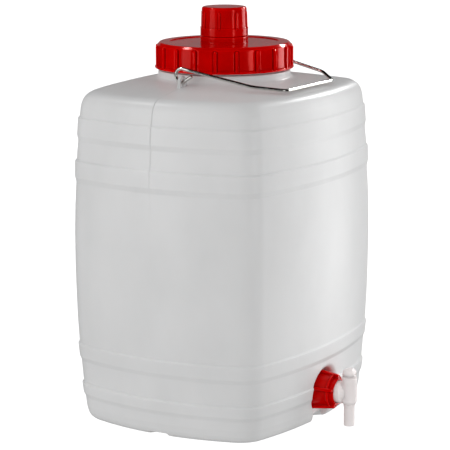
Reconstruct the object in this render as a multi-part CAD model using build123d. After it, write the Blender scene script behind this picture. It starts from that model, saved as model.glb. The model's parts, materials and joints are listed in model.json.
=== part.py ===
from build123d import *
import os
from math import atan2, cos, hypot, radians, sin, sqrt

# Rectangular plastic fermenting container with a screw lid, a filler cap, a wire bail and a tap.
# Millimetres. Origin at the middle of the base, +Z up, the tap on the -Y face, the bail lugs on the X axis.

# ---- driving dimensions ------------------------------------------------------------------------
# Tank plan: four bowed sides and four rounded corners, scaled by the half depth of each level
PLAN_ASPECT = 1.181          # half width / half depth
END_BOW = 0.2236             # sagitta of the +X and -X sides, per unit of half depth
FRONT_BOW = 0.2018           # sagitta of the -Y and +Y sides, per unit of half depth
CORNER_RADIUS = 0.2482       # corner radius, per unit of half depth
WALL = 2.0
FLOOR = 2.4

# Tank side, from the base up: (height, half depth). It stands on a narrow ring, from which a flat
# heel slopes up to the side. Four hoops stand about 1 mm proud of the side
FOOT = [(0.0, 84.5), (2.3, 96.2), (3.6, 100.0), (6.0, 102.6), (10.0, 104.2), (16.0, 105.3), (23.5, 106.0)]
HOOP_D = [(27.0, 107.8), (36.5, 108.4), (40.5, 107.5)]
HOOP_C = [(60.5, 108.8), (64.5, 110.2), (74.5, 110.8), (78.0, 110.1)]
BELLY = [(100.0, 110.9), (125.0, 111.5), (150.0, 111.9), (180.0, 111.9), (205.0, 111.3)]
HOOP_B = [(227.5, 110.3), (231.5, 111.4), (244.5, 111.1), (248.5, 109.6)]
HOOP_A = [(265.5, 108.4), (269.5, 109.3), (283.5, 108.4), (287.5, 107.0)]
SHOULDER_EDGE = [(296.0, 106.0), (300.0, 105.0), (303.5, 103.4), (306.3, 100.9), (308.3, 97.6)]
OUTER_SIDE = FOOT + HOOP_D + HOOP_C + BELLY + HOOP_B + HOOP_A + SHOULDER_EDGE
INNER_SIDE = [(FLOOR, 84.5), (4.7, 94.4), (7.0, 98.8), (11.0, 101.6), (23.0, 103.8), (52.0, 105.8),
              (100.0, 108.6), (165.0, 109.6), (228.0, 108.0), (262.0, 106.2), (290.0, 104.2),
              (301.0, 102.2), (306.3, 96.0)]

# Base: the push-up inside the standing ring, and three tunnels under the heel
PUSH_UP = 8.0
PUSH_UP_FOOT = 79.0          # half depth of the push-up where it meets the standing ring
PUSH_UP_TOP = 72.0           # half depth of its flat top
PINCH_HALF_WIDTH = 9.0       # the mould's pinch-off notches in the +X and -X heels
PINCH_HEIGHT = 6.5
PINCH_NEAR_X = 101.5
TAP_GAP_HALF_WIDTH = 10.5    # the gap in the standing ring under the tap
TAP_GAP_NEAR_Y = 60.0

# Shoulder dome and neck
NECK_FOOT_Z = 316.1
NECK_COLLAR_R = 61.0
NECK_COLLAR_TOP = 323.6
NECK_R = 57.0
NECK_BORE_R = 54.0
NECK_RIM_Z = 344.0
DOME_CROWN = 1.0             # how far the dome bulges above a straight slope

# Bail lugs and bail
LUG_X = 75.0
LUG_THICK = 3.0
LUG_HALF_WIDTH = 6.0
LUG_HOLE_R = 3.1
BAIL_AXIS_Z = 325.1
WIRE_D = 3.0
HOOK_R = 6.2                 # from the swing axis to the middle of the wire
BAIL_DROOP = 11.5            # degrees below level when it lies on the front of the shoulder
ARM_REACH = 67.5
ARM_CONVERGE = 8.6
CORNER_CUT = 22.6
TAIL_BEND_R = 4.0
TAIL_LENGTH = 9.5

# Threads: radial height, axial width at the root and at the crest
LID_PITCH = 9.0
LID_THREAD_Z = 327.4         # where the lid's ridge starts; the neck's starts half a pitch higher
CAP_PITCH = 6.0
CAP_THREAD_Z = 356.8
NUT_PITCH = 4.0

# Lid
LID_BOTTOM = 325.3
LID_TOP = 349.0
LID_RIM_R = 64.0
LID_SKIRT_R = 62.2
LID_BORE_R = 59.6
LID_STEP_R = 50.0            # the top's sunk middle
LID_PLATE_UNDER = 346.0
LID_RIBS = 20
LID_RIB_ANGLE = 4.8          # of the first rib, from the +X direction
SPOUT_COLLAR_R = 22.0
SPOUT_COLLAR_TOP = 354.2
SPOUT_R = 17.0
SPOUT_BORE_R = 14.5
SPOUT_RIM_Z = 377.0

# Filler cap
CAP_BOTTOM = 354.6
CAP_TOP = 381.0
CAP_BAND_R = 22.0
CAP_SKIRT_R = 21.2
CAP_TOP_R = 20.6
CAP_BORE_R = 19.0
CAP_PLATE_UNDER = 378.8
CAP_RIBS = 8
CAP_RIB_ANGLE = 18.0

# Tap: everything on one horizontal axis that leaves the tank along -Y
TAP_Z = 31.7
POCKET_FLOOR_Y = -96.0
POCKET_MOUTH_Y = -118.0
POCKET_Z = 30.2              # middle of the pocket's round part
POCKET_FLOOR_R = 21.8
POCKET_MOUTH_R = 24.0
BOSS_R = 12.0
BOSS_BORE_R = 9.0
BOSS_END_Y = -112.3
TAP_GASKET = 1.2
FLANGE_R = 12.3
FLANGE_THICK = 2.8
INLET_R = 8.7
INLET_END_Y = -99.0
INLET_BORE_R = 3.6
TUBE_R = 10.2
TUBE_END_Y = -126.0
BARREL_Y = -131.8
BARREL_R = 7.0
BARREL_TOP = 47.0
BARREL_BOTTOM = 21.6
PLUG_TOP_R = 5.5
PLUG_BOTTOM_R = 5.0
PLUG_FIT = 0.05
SPOUT_OUTER_R = 5.0
SPOUT_WATERWAY_R = 3.2
SPOUT_END_Z = 1.2
KNOB_R = 6.4
KNOB_TOP = 55.2
KNOB_GRIP = 9.6              # thickness of the block that the fingers turn

NUT_REAR_Y = -97.2
NUT_SHOULDER_Y = -116.8      # front rim of the panels between the ribs
NUT_FRONT_Y = -121.2
NUT_REAR_R = 17.6
NUT_SHOULDER_R = 16.0
NUT_COLLAR_R = 12.8          # raised collar round the tap's tube
NUT_BORE_R = 13.6
NUT_OPENING_R = 10.9
NUT_RIBS = 5
NUT_RIB_HALF = 1.4
NUT_RIB_ANGLE = 16.0         # of the first rib, above the -X direction


# ---- helpers -----------------------------------------------------------------------------------
def plan_points(half_depth):
    """The ends and middles of the eight arcs of the tank's plan, anticlockwise from the +X side."""
    half_width = PLAN_ASPECT * half_depth
    end_bow = END_BOW * half_depth
    front_bow = FRONT_BOW * half_depth
    corner = CORNER_RADIUS * half_depth
    end_radius = (half_depth**2 + end_bow**2) / (2 * end_bow)
    front_radius = (half_width**2 + front_bow**2) / (2 * front_bow)
    end_centre = Vector(half_width - end_radius, 0)
    front_centre = Vector(0, half_depth - front_radius)
    # The corner's centre is inside both side arcs by the corner radius
    between = front_centre - end_centre
    gap = between.length
    along = ((end_radius - corner) ** 2 - (front_radius - corner) ** 2 + gap**2) / (2 * gap)
    across = sqrt((end_radius - corner) ** 2 - along**2)
    unit = between / gap
    corner_centre = end_centre + unit * along + Vector(-unit.Y, unit.X) * across
    if corner_centre.X < 0 or corner_centre.Y < 0:
        corner_centre = end_centre + unit * along - Vector(-unit.Y, unit.X) * across
    out_end = (corner_centre - end_centre).normalized()
    out_front = (corner_centre - front_centre).normalized()
    p = end_centre + out_end * end_radius
    c = corner_centre + (out_end + out_front).normalized() * corner
    q = front_centre + out_front * front_radius
    return [(p.X, -p.Y), (half_width, 0), (p.X, p.Y), (c.X, c.Y),
            (q.X, q.Y), (0, half_depth), (-q.X, q.Y), (-c.X, c.Y),
            (-p.X, p.Y), (-half_width, 0), (-p.X, -p.Y), (-c.X, -c.Y),
            (-q.X, -q.Y), (0, -half_depth), (q.X, -q.Y), (c.X, -c.Y)]


def rounded(points, radius, share):
    """Moves each point of a plan towards a circle, by share from 0 to 1."""
    moved = []
    for x, y in points:
        reach = hypot(x, y) * (1 - share) + radius * share
        angle = atan2(y, x)
        moved.append((reach * cos(angle), reach * sin(angle)))
    return moved


def level(points, z):
    """A closed wire of eight arcs at one height."""
    at = [Vector(x, y, z) for x, y in points]
    arcs = []
    for i in range(0, 16, 2):
        arcs.append(ThreePointArc(at[i], at[i + 1], at[(i + 2) % 16]))
    return Wire(arcs)


def tank_form(side, neck_z, neck_radius, crown):
    """A solid from the side's levels, closed by a dome that turns into a circle at the neck."""
    wires = [level(plan_points(half_depth), z) for z, half_depth in side]
    edge_z, edge_half_depth = side[-1]
    edge = plan_points(edge_half_depth)
    for share in (0.2, 0.4, 0.6, 0.8, 1.0):
        z = edge_z + (neck_z - edge_z) * share + 4 * crown * share * (1 - share)
        wires.append(level(rounded(edge, neck_radius, share), z))
    return Solid.make_loft(wires, ruled=True)


def thread(radius, height, pitch, rise, root_width, crest_width):
    """A helical ridge on +Z that stands out of radius by height, or into it if height is negative."""
    bury = 0.3 if height > 0 else -0.3
    helix = Helix(pitch=pitch, height=rise, radius=radius)
    start = Plane(origin=helix @ 0, x_dir=(1, 0, 0), z_dir=helix % 0)
    outline = Polyline((-bury, -root_width / 2), (height, -crest_width / 2), (height, crest_width / 2),
                       (-bury, root_width / 2), close=True)
    profile = start * make_face(outline)
    return sweep(profile, path=helix, is_frenet=True)


def spun(points, axis=Axis.Z):
    """A solid of revolution about Z from (radius, z) points."""
    face = make_face(Plane.XZ * Polyline(*points, close=True))
    return revolve(face, axis)


def column(radius, low, high, x=0.0, y=0.0):
    """A vertical cylinder between two heights."""
    return Pos(x, y, low) * Cylinder(radius, high - low, align=(Align.CENTER, Align.CENTER, Align.MIN))


def along_tap(shape):
    """Turns a shape built on +Z so that it lies on the tap's axis, with its +Z along -Y."""
    return Location((0, 0, TAP_Z)) * (Rotation(90, 0, 0) * shape)


def tap_rod(radius, near_y, far_y):
    """A cylinder on the tap's axis between two Y values."""
    return along_tap(column(radius, -max(near_y, far_y), -min(near_y, far_y)))


# ---- tank --------------------------------------------------------------------------------------
def arch(radius, y):
    """The pocket's outline at one depth: most of a circle over two legs that close in towards the base."""
    below = radians(38)
    low = -4.0
    foot = 0.47 * radius
    side = radius * cos(below)
    bend = POCKET_Z - radius * sin(below)
    return Wire([
        Line((-foot, y, low), (-side, y, bend)),
        ThreePointArc((-side, y, bend), (0, y, POCKET_Z + radius), (side, y, bend)),
        Line((side, y, bend), (foot, y, low)),
        Line((foot, y, low), (-foot, y, low)),
    ])


def pocket(grow):
    """The tap's pocket, grown all round by the wall for the inside of the tank."""
    return Solid.make_loft([
        arch(POCKET_FLOOR_R + grow, POCKET_FLOOR_Y + grow),
        arch(POCKET_MOUTH_R + grow, POCKET_MOUTH_Y),
    ], ruled=True)


def tunnel(half_width, height, near, far, turn, grow):
    """A tapered tunnel under the base, from near to far from the middle, turned in degrees from +X."""
    top = half_width + grow
    foot = top + 3.5
    outline = Polyline((-foot, -1), (foot, -1), (top, height + grow), (-top, height + grow), close=True)
    prism = extrude(make_face(Plane.YZ * outline), far - near)
    return Rotation(0, 0, turn) * (Pos(near, 0, 0) * prism)


def base_hollow(grow):
    """The push-up and the tunnels, grown all round by the wall for the inside of the tank."""
    low = level(plan_points(PUSH_UP_FOOT + 1.0 + grow), -1.0)
    high = level(plan_points(PUSH_UP_TOP + grow), PUSH_UP + grow)
    hollow = Part() + Solid.make_loft([low, high], ruled=True)
    hollow = hollow + tunnel(TAP_GAP_HALF_WIDTH, PUSH_UP, TAP_GAP_NEAR_Y, 100.0, -90, grow)
    for turn in (0, 180):
        hollow = hollow + tunnel(PINCH_HALF_WIDTH, PINCH_HEIGHT, PINCH_NEAR_X - grow, 140.0, turn, grow)
    return hollow


def lug(side):
    """A flat fin on the mould's parting plane, with the hole that the bail's hook goes through."""
    foot_z = 313.6
    hole_z = BAIL_AXIS_Z - HOOK_R
    crown_r = LUG_HALF_WIDTH
    plate = Pos(side * LUG_X, 0, hole_z) * Rotation(90, 0, 0) * Cylinder(crown_r, LUG_THICK)
    leg = Pos(side * LUG_X, 0, (foot_z + hole_z) / 2) * Box(2 * crown_r, LUG_THICK, hole_z - foot_z)
    hole = Pos(side * LUG_X, 0, hole_z) * Rotation(90, 0, 0) * Cylinder(LUG_HOLE_R, 2 * LUG_THICK)
    return plate + leg - hole


def make_tank():
    outer = Part() + tank_form(OUTER_SIDE, NECK_FOOT_Z, NECK_COLLAR_R + 3.0, DOME_CROWN)
    foot_r = NECK_COLLAR_R + 3.0
    neck = spun([
        (0, NECK_FOOT_Z - 4), (foot_r, NECK_FOOT_Z - 4), (foot_r, NECK_FOOT_Z),
        (NECK_COLLAR_R + 1.0, NECK_FOOT_Z + 1.0), (NECK_COLLAR_R, NECK_FOOT_Z + 3.2),
        (NECK_COLLAR_R, NECK_COLLAR_TOP - 0.8), (NECK_COLLAR_R - 0.8, NECK_COLLAR_TOP),
        (NECK_R, NECK_COLLAR_TOP), (NECK_R, NECK_RIM_Z - 0.8), (NECK_R - 0.8, NECK_RIM_Z),
        (0, NECK_RIM_Z),
    ])
    outer = outer + neck
    inner = Part() + tank_form(INNER_SIDE, NECK_FOOT_Z - 2.6, NECK_BORE_R, DOME_CROWN)
    inner = inner + column(NECK_BORE_R, NECK_FOOT_Z - 6.0, NECK_RIM_Z + 5.0)
    shell = (outer - pocket(0.0) - base_hollow(0.0)) - (inner - pocket(WALL) - base_hollow(WALL))
    shell = shell + tap_rod(BOSS_R, POCKET_FLOOR_Y + WALL, BOSS_END_Y)
    boss_thread = thread(BOSS_R, 1.2, NUT_PITCH, 9.0, 1.5, 0.7)
    shell = shell + along_tap(Pos(0, 0, -POCKET_FLOOR_Y + 4.5) * boss_thread)
    shell = shell - tap_rod(BOSS_BORE_R, POCKET_FLOOR_Y + 3 * WALL, BOSS_END_Y - 5)
    neck_thread = thread(NECK_R, 1.8, LID_PITCH, 10.0, 3.2, 1.4)
    shell = shell + Pos(0, 0, LID_THREAD_Z + LID_PITCH / 2) * neck_thread
    for side in (-1, 1):
        shell = shell + lug(side)
    return shell


# ---- lid, gasket, filler cap and liner ---------------------------------------------------------
def make_lid():
    shoulder = 4.2
    outline = [
        (LID_BORE_R, LID_BOTTOM), (LID_RIM_R, LID_BOTTOM), (LID_RIM_R, LID_BOTTOM + 1.2),
        (LID_SKIRT_R + 0.3, LID_BOTTOM + 2.8), (LID_SKIRT_R - 0.2, LID_TOP - shoulder - 0.6),
        (LID_SKIRT_R - 1.0, LID_TOP - 2.0), (LID_SKIRT_R - 2.6, LID_TOP - 0.6),
        (LID_SKIRT_R - shoulder, LID_TOP), (LID_STEP_R + 0.8, LID_TOP), (LID_STEP_R, LID_TOP - 0.7),
        (SPOUT_COLLAR_R, LID_TOP - 0.7), (SPOUT_COLLAR_R, SPOUT_COLLAR_TOP), (SPOUT_R, SPOUT_COLLAR_TOP),
        (SPOUT_R, SPOUT_RIM_Z), (SPOUT_BORE_R, SPOUT_RIM_Z), (SPOUT_BORE_R, LID_PLATE_UNDER),
        (LID_BORE_R, LID_PLATE_UNDER),
    ]
    lid = spun(outline)
    rib_low = LID_BOTTOM + 1.0
    rib_high = LID_TOP - shoulder
    rib = Pos(LID_SKIRT_R + 0.1, 0, (rib_low + rib_high) / 2) * Box(3.0, 3.0, rib_high - rib_low)
    lid = lid + PolarLocations(0, LID_RIBS, LID_RIB_ANGLE) * rib
    lid = lid + Pos(0, 0, LID_THREAD_Z) * thread(LID_BORE_R, -1.8, LID_PITCH, 11.5, 3.2, 1.4)
    return lid + Pos(0, 0, CAP_THREAD_Z + CAP_PITCH / 2) * thread(SPOUT_R, 1.4, CAP_PITCH, 13.0, 2.2, 1.0)


def make_lid_gasket():
    inside = NECK_BORE_R - 0.4
    outside = LID_BORE_R - 0.4
    return column(outside, NECK_RIM_Z, LID_PLATE_UNDER) - column(inside, NECK_RIM_Z, LID_PLATE_UNDER)


def make_filler_cap():
    band_top = 361.8
    outline = [
        (CAP_BORE_R, CAP_BOTTOM), (CAP_BAND_R, CAP_BOTTOM), (CAP_BAND_R - 0.1, band_top),
        (CAP_SKIRT_R, band_top + 0.6), (CAP_TOP_R, CAP_TOP - 3.6), (CAP_TOP_R - 0.5, CAP_TOP - 1.4),
        (CAP_TOP_R - 2.0, CAP_TOP), (0, CAP_TOP), (0, CAP_PLATE_UNDER), (CAP_BORE_R, CAP_PLATE_UNDER),
    ]
    cap = spun(outline)
    rib_high = CAP_TOP - 4.4
    rib = Pos(CAP_SKIRT_R - 0.1, 0, (band_top + rib_high) / 2) * Box(1.6, 1.6, rib_high - band_top)
    cap = cap + PolarLocations(0, CAP_RIBS, CAP_RIB_ANGLE) * rib
    return cap + Pos(0, 0, CAP_THREAD_Z) * thread(CAP_BORE_R, -1.4, CAP_PITCH, 13.0, 2.2, 1.0)


def make_filler_cap_liner():
    return column(CAP_BORE_R - 0.4, SPOUT_RIM_Z, CAP_PLATE_UNDER)


# ---- bail --------------------------------------------------------------------------------------
def make_bail():
    """One wire: tail, hook, arm, cut corner, grip, and the same again, in a plane that swings about X."""
    droop = radians(BAIL_DROOP)
    forward = Vector(0, -cos(droop), -sin(droop))
    above = Vector(0, -sin(droop), cos(droop))
    axis = Vector(0, 0, BAIL_AXIS_Z)

    def on_plane(x, reach, height=HOOK_R):
        return axis + Vector(x, 0, 0) + forward * reach + above * height

    grip_half = LUG_X - ARM_CONVERGE - CORNER_CUT
    straight = 6.0
    grip_reach = ARM_REACH + CORNER_CUT
    arm_end = LUG_X - ARM_CONVERGE
    corners = [
        (-LUG_X, 0), (-LUG_X, straight), (-arm_end, ARM_REACH), (-grip_half, grip_reach),
        (grip_half, grip_reach), (arm_end, ARM_REACH), (LUG_X, straight), (LUG_X, 0),
    ]
    radii = [20.0, 14.0, 10.0, 10.0, 14.0, 20.0]
    loop = FilletPolyline(*[on_plane(x, reach) for x, reach in corners], radius=radii)

    def round_point(x, radius, angle, centre=(0.0, 0.0)):
        """A point of the hook's plane, at an angle in degrees from straight down, towards the front."""
        turn = radians(angle)
        return on_plane(x, centre[0] + radius * sin(turn), centre[1] - radius * cos(turn))

    def hook(side):
        x = side * LUG_X
        leave = 10.0
        rise = 43.0
        lowest = round_point(x, HOOK_R, leave)
        bend = ThreePointArc(on_plane(x, 0), on_plane(x, -HOOK_R, 0), lowest)
        inner = HOOK_R - TAIL_BEND_R
        centre = (inner * sin(radians(leave)), -inner * cos(radians(leave)))
        middle = round_point(x, TAIL_BEND_R, (leave + rise) / 2, centre)
        turn = ThreePointArc(lowest, middle, round_point(x, TAIL_BEND_R, rise, centre))
        end = turn @ 1
        tail = forward * cos(radians(rise)) + above * sin(radians(rise))
        return [bend, turn, Line(end, end + tail * TAIL_LENGTH)]

    path = Wire(hook(-1) + list(loop.edges()) + hook(1))
    start = path @ 0
    section = Plane(origin=start, z_dir=path % 0) * Circle(WIRE_D / 2)
    return sweep(section, path=path)


# ---- tap ---------------------------------------------------------------------------------------
def make_tap_body():
    face_y = BOSS_END_Y - TAP_GASKET
    body = tap_rod(INLET_R, INLET_END_Y, face_y)
    body = body + tap_rod(FLANGE_R, face_y, face_y - FLANGE_THICK)
    body = body + tap_rod(TUBE_R, face_y - FLANGE_THICK, TUBE_END_Y)
    body = body + tap_rod(BARREL_R, TUBE_END_Y, BARREL_Y)
    barrel = spun([
        (0, BARREL_BOTTOM), (BARREL_R - 1.4, BARREL_BOTTOM), (BARREL_R, BARREL_BOTTOM + 2.0),
        (BARREL_R, BARREL_TOP), (0, BARREL_TOP),
    ])
    body = body + Pos(0, BARREL_Y, 0) * barrel
    taper = spun([
        (0, BARREL_BOTTOM), (PLUG_BOTTOM_R, BARREL_BOTTOM), (PLUG_TOP_R, BARREL_TOP), (0, BARREL_TOP),
    ])
    body = body - Pos(0, BARREL_Y, 0) * taper
    return body - tap_rod(INLET_BORE_R, INLET_END_Y, BARREL_Y)


def make_tap_plug():
    snap_low = BARREL_BOTTOM - 1.6
    outline = [
        (0, SPOUT_END_Z), (SPOUT_OUTER_R, SPOUT_END_Z), (SPOUT_OUTER_R, snap_low - 0.5),
        (PLUG_BOTTOM_R + 0.35, snap_low), (PLUG_BOTTOM_R + 0.35, BARREL_BOTTOM - 0.1),
        (PLUG_BOTTOM_R - PLUG_FIT, BARREL_BOTTOM - 0.1), (PLUG_BOTTOM_R - PLUG_FIT, BARREL_BOTTOM),
        (PLUG_TOP_R - PLUG_FIT, BARREL_TOP), (PLUG_TOP_R - PLUG_FIT, BARREL_TOP + 0.1),
        (KNOB_R, BARREL_TOP + 0.1), (KNOB_R, BARREL_TOP + 1.7), (KNOB_R - 0.6, BARREL_TOP + 2.2),
        (0, BARREL_TOP + 2.2),
    ]
    plug = spun(outline)
    block_low = BARREL_TOP + 1.0
    blank = column(KNOB_R, block_low, KNOB_TOP) & Pos(0, 0, block_low) * Box(
        3 * KNOB_R, KNOB_GRIP, 2 * (KNOB_TOP - block_low))
    plug = plug + fillet(blank.edges().group_by(Axis.Z)[-1], 2.4)
    plug = plug - column(SPOUT_WATERWAY_R, SPOUT_END_Z, TAP_Z + 0.6 * SPOUT_WATERWAY_R)
    port = Pos(0, 0, TAP_Z) * (Rotation(0, 90, 0) * column(SPOUT_WATERWAY_R, 0, 2 * KNOB_R))
    plug = plug - port
    return Pos(0, BARREL_Y, 0) * plug


def make_tap_gasket():
    outer = tap_rod(BOSS_R, BOSS_END_Y, BOSS_END_Y - TAP_GASKET)
    return outer - tap_rod(BOSS_BORE_R + 0.2, BOSS_END_Y, BOSS_END_Y - TAP_GASKET)


def make_tap_nut():
    rear = -NUT_REAR_Y
    shoulder = -NUT_SHOULDER_Y
    front = -NUT_FRONT_Y
    seat = -(BOSS_END_Y - TAP_GASKET - FLANGE_THICK)
    nut = spun([
        (NUT_BORE_R + 1.2, rear), (NUT_REAR_R, rear), (NUT_SHOULDER_R - 0.6, shoulder - 2.4),
        (NUT_SHOULDER_R, shoulder - 1.4), (NUT_SHOULDER_R, shoulder), (NUT_COLLAR_R + 0.9, shoulder + 0.3),
        (NUT_COLLAR_R, shoulder + 0.9), (NUT_COLLAR_R - 0.3, front - 0.6), (NUT_OPENING_R, front - 0.4),
        (NUT_OPENING_R, seat), (NUT_BORE_R, seat), (NUT_BORE_R, rear + 1.2),
    ])
    rib_outline = Polyline(
        (NUT_BORE_R + 1.8, rear), (NUT_REAR_R + 2.0, rear), (NUT_SHOULDER_R + 0.4, front - 0.6),
        (NUT_SHOULDER_R - 0.2, front), (NUT_OPENING_R + 0.5, front), (NUT_OPENING_R + 0.5, seat + 0.6),
        (NUT_BORE_R + 1.8, seat - 2.0), close=True)
    rib = extrude(make_face(Plane.XZ * rib_outline), NUT_RIB_HALF, both=True)
    for i in range(NUT_RIBS):
        nut = nut + Rotation(0, 0, 180.0 - NUT_RIB_ANGLE + i * 360 / NUT_RIBS) * rib
    inner_thread = thread(NUT_BORE_R, -1.1, NUT_PITCH, 8.0, 1.5, 0.7)
    nut = nut + Pos(0, 0, -POCKET_FLOOR_Y + 4.5 + NUT_PITCH / 2) * inner_thread
    return along_tap(nut)


NODES = {
    "tank": make_tank,
    "lid": make_lid,
    "lid_gasket": make_lid_gasket,
    "filler_cap": make_filler_cap,
    "filler_cap_liner": make_filler_cap_liner,
    "bail": make_bail,
    "tap_body": make_tap_body,
    "tap_plug": make_tap_plug,
    "tap_gasket": make_tap_gasket,
    "tap_nut": make_tap_nut,
}

os.makedirs("parts", exist_ok=True)
for name, make in NODES.items():
    export_step(make(), f"parts/{name}.step")
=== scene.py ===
import json
from math import atan2, cos, pi, radians, sin, sqrt, tan

import bmesh
import bpy
import numpy as np
from mathutils import Matrix, Vector


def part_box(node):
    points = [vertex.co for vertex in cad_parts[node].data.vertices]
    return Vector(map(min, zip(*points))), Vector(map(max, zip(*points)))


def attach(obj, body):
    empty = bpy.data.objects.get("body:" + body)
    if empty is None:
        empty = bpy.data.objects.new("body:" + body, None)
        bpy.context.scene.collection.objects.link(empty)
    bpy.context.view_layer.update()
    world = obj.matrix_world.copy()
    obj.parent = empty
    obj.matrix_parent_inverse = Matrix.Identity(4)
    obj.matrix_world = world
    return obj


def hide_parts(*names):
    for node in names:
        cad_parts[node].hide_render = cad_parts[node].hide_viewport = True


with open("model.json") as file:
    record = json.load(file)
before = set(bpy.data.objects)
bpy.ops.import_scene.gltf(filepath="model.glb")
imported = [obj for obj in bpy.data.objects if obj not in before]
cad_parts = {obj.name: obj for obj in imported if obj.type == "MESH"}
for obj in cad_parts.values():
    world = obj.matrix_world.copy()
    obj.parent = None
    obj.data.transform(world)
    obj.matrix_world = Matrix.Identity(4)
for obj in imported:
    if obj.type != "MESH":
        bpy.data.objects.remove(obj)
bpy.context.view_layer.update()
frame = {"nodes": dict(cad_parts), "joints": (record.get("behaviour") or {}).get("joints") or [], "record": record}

# A closed rectangular fermenting container in natural polyethylene with a red screw lid, a red
# filler cap, a wire bail and a bottom tap. Shapes are worked out in millimetres and turned into
# metres when their mesh is made. Places come from the CAD nodes' boxes and from the joints.
MM = 0.001
MERGE_DISTANCE = 4e-6        # metres; points of one mesh nearer than this become one
AXIS_R = 0.01                # radius left open round the axis of a turned shell


def box_mm(node):
    """The lowest and highest corner of a CAD node, in millimetres."""
    low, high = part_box(node)
    return low / MM, high / MM


def joint_z(name):
    """The height of a joint's axis, in millimetres."""
    joint = next(j for j in frame["joints"] if j["name"] == name)
    return joint["pos_m"][2] / MM


tank_high = box_mm("tank")[1]
lid_low, lid_high = box_mm("lid")
cap_low, cap_high = box_mm("filler_cap")
nut_low, nut_high = box_mm("tap_nut")
tap_high = box_mm("tap_body")[1]
plug_low, plug_high = box_mm("tap_plug")

BODY_OF = {n: b for b, nodes in frame["record"]["behaviour"]["bodies"].items() for n in nodes}


# ---- mesh helpers ----
def soften(points, radii, closed=False, steps=4):
    """Rounds the corners of a polyline of (a, b) points, each with its own radius."""
    pts = [np.array(p, float) for p in points]
    count = len(pts)
    out = []
    for i, p in enumerate(pts):
        if radii[i] <= 0 or (not closed and i in (0, count - 1)):
            out.append(p)
            continue
        before, after = pts[i - 1] - p, pts[(i + 1) % count] - p
        length_before, length_after = np.linalg.norm(before), np.linalg.norm(after)
        before, after = before / length_before, after / length_after
        half = np.arccos(np.clip(before @ after, -1, 1)) / 2
        if pi / 2 - half < 0.01:
            out.append(p)
            continue
        reach = min(radii[i] / tan(half), 0.48 * length_before, 0.48 * length_after)
        r = reach * tan(half)
        bisector = (before + after) / np.linalg.norm(before + after)
        centre = p + bisector * (r / sin(half))
        first, last = p + before * reach - centre, p + after * reach - centre
        a0, a1 = atan2(first[1], first[0]), atan2(last[1], last[0])
        turn = (a1 - a0 + pi) % (2 * pi) - pi
        for k in range(steps + 1):
            a = a0 + turn * k / steps
            out.append(centre + r * np.array([cos(a), sin(a)]))
    return np.array(out)


def refine(points, longest, closed=False):
    """Splits the segments of a polyline that are longer than longest."""
    pts = list(points) + ([points[0]] if closed else [])
    out = [pts[0]]
    for a, b in zip(pts[:-1], pts[1:]):
        n = max(1, int(np.ceil(np.linalg.norm(np.array(b) - np.array(a)) / longest)))
        for k in range(1, n + 1):
            out.append(np.array(a) + (np.array(b) - np.array(a)) * k / n)
    return np.array(out[:-1] if closed else out)


def outline(points, radii, longest):
    """A closed outline with rounded corners and no segment longer than longest."""
    return refine(soften(points, radii, closed=True), longest, closed=True)


def grid_faces(rows, columns, wrap_rows=False, wrap_columns=True):
    """Quads between the points of a rows x columns grid."""
    r = np.arange(rows if wrap_rows else rows - 1)
    c = np.arange(columns if wrap_columns else columns - 1)
    i, j = np.meshgrid(r, c, indexing="ij")
    i2, j2 = (i + 1) % rows, (j + 1) % columns
    quads = np.stack([i * columns + j, i * columns + j2, i2 * columns + j2, i2 * columns + j], -1)
    return quads.reshape(-1, 4)


def spin(profile, angles, shape=None):
    """A surface of revolution about Z from a closed outline of (radius, z) points.
    shape(angle, radius, z) adds to the radius. Returns (points, quads)."""
    th = np.asarray(angles, float)[None, :]
    r, z = profile[:, 0][:, None], profile[:, 1][:, None]
    reach = r + (shape(th, r, z) if shape else 0 * th)
    z = np.broadcast_to(z, reach.shape)
    pts = np.stack([reach * np.cos(th), reach * np.sin(th), z], -1).reshape(-1, 3)
    return pts, grid_faces(len(profile), th.shape[1], wrap_rows=True)


def full_turn(count):
    """Even angles once round."""
    return np.linspace(0, 2 * pi, count, endpoint=False)


def pitched(count, beside, start):
    """Angles for count ribs from start: each rib's middle, the same offsets in degrees on both
    sides of it, and halfway to the next rib."""
    pitch = 360 / count
    offsets = [-o for o in beside[::-1]] + [0] + beside + [pitch / 2]
    return np.radians([start + k * pitch + o for k in range(count) for o in offsets])


def polar(reach, angle):
    """Points (x, y) at a reach from the axis and an angle round it."""
    return np.stack([reach * np.cos(angle), reach * np.sin(angle)], -1)


def level(xy, z):
    """Points (x, y) raised to a height."""
    return np.column_stack([xy, np.full(len(xy), z)])


def thread_ridge(angle, z, start, pitch, rise, root, crest):
    """The height, 0 to 1, of a right-hand helical ridge at each angle and z."""
    turn = np.mod(angle, 2 * pi) / (2 * pi)
    turns = rise / pitch
    total = np.zeros(np.broadcast(angle, z).shape)
    for k in range(int(np.ceil(turns)) + 1):
        t = turn + k
        from_middle = np.abs(z - (start + pitch * t))
        flank = np.clip((root / 2 - from_middle) / ((root - crest) / 2), 0, 1)
        fade = np.clip(np.minimum(t, turns - t) * 18, 0, 1)
        total = np.maximum(total, smooth(flank) * smooth(fade))
    return total


def smooth(t):
    """Eases 0 to 1, and holds those values outside that range."""
    t = np.clip(t, 0, 1)
    return t * t * (3 - 2 * t)


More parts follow.
